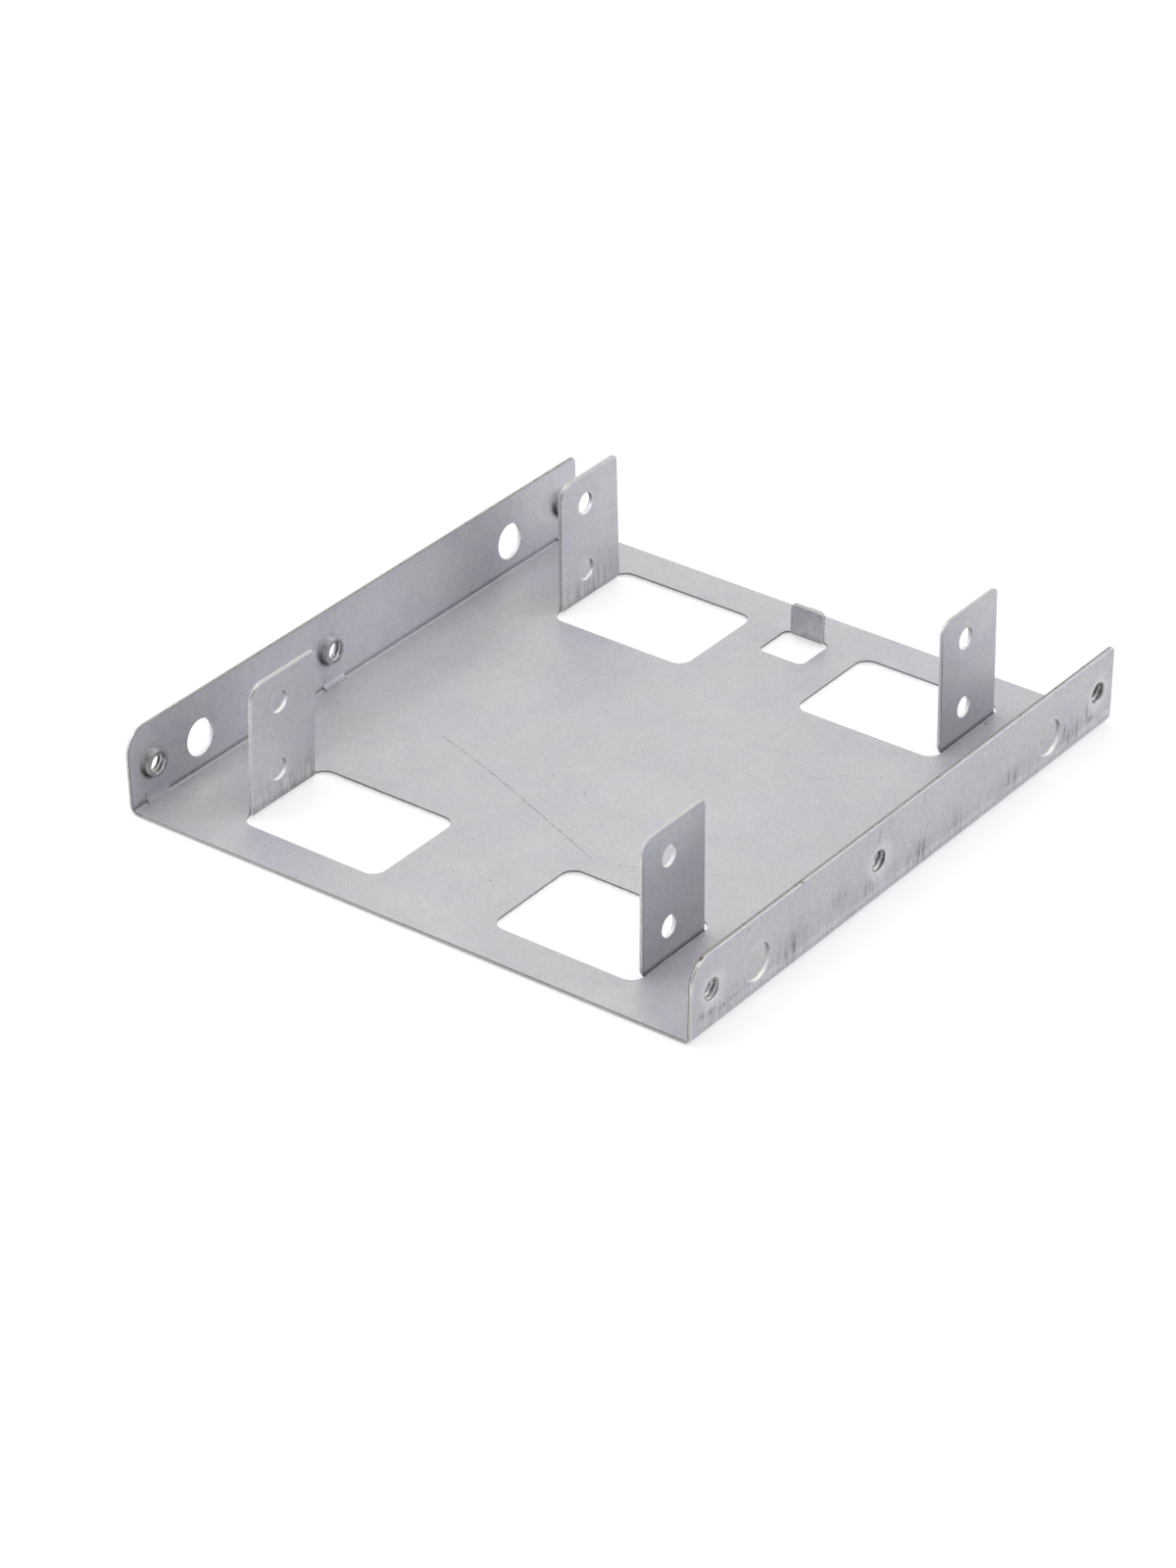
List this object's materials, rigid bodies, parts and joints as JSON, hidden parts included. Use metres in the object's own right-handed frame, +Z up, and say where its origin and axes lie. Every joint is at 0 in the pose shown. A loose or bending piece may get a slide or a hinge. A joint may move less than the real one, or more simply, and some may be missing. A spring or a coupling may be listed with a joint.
{
  "type": "drive bay adapter bracket",
  "caption": "Shallow folded sheet steel tray with low side flanges, drilled upright tabs and a small rear stop; carries narrow drives in the bay of a wide one.",
  "frame": {"origin": "on the underside of the floor, at the middle of the tray's width and length", "axes": "+Z up, away from the floor; +Y from the front edge, whose flange corners are large and round, to the rear edge with the stop; +X to the right seen from the front"},
  "size_m": [0.1016, 0.1104, 0.0225],
  "materials": {
    "steel": "matte zinc coating over cold rolled sheet, with rubbed and sheared edges"
  },
  "bodies": {
    "root": {"bracket": "steel"}
  },
  "joints": []
}
